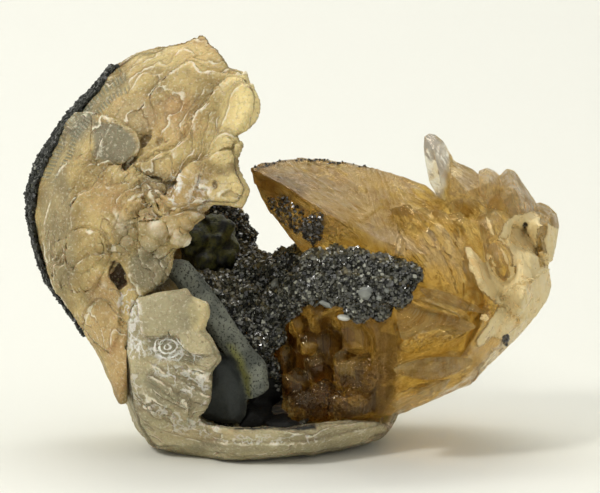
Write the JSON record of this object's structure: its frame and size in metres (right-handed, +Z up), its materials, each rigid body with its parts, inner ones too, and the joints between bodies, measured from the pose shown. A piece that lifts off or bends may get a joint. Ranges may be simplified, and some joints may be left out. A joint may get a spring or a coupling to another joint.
{
  "type": "calcite crystals in a fossil clam shell",
  "caption": "Honey calcite crystals filling a broken fossil clam shell, with black sparkling druse on a bridge and on the shell's back; rests on the bowl's flat foot.",
  "frame": {"origin": "centre of the box's underside, on the flat foot of the lower valve", "axes": "+X from the shell towards the calcite's end, +Y away from the side in the picture, +Z up"},
  "size_m": [0.1024, 0.0548, 0.0791],
  "materials": {
    "chalky_shell": "matte, chalky white over tan",
    "cream_shell": "matte to satin, cream and peach",
    "honey_calcite": "glossy, see-through honey and amber",
    "grey_mud": "matte grey",
    "olive_brown_stone": "dull, lumpy",
    "black_sparkling_crystal": "sparkling fine crystals",
    "black_granular_crystal": "granular, slightly sparkling"
  },
  "bodies": {
    "root": {"lower_valve": "chalky_shell", "upper_valve": "cream_shell", "calcite_crystals": "honey_calcite", "grey_lining": "grey_mud", "dark_nodule": "olive_brown_stone", "dark_druse": "black_sparkling_crystal", "outer_crust": "black_granular_crystal"}
  },
  "joints": []
}
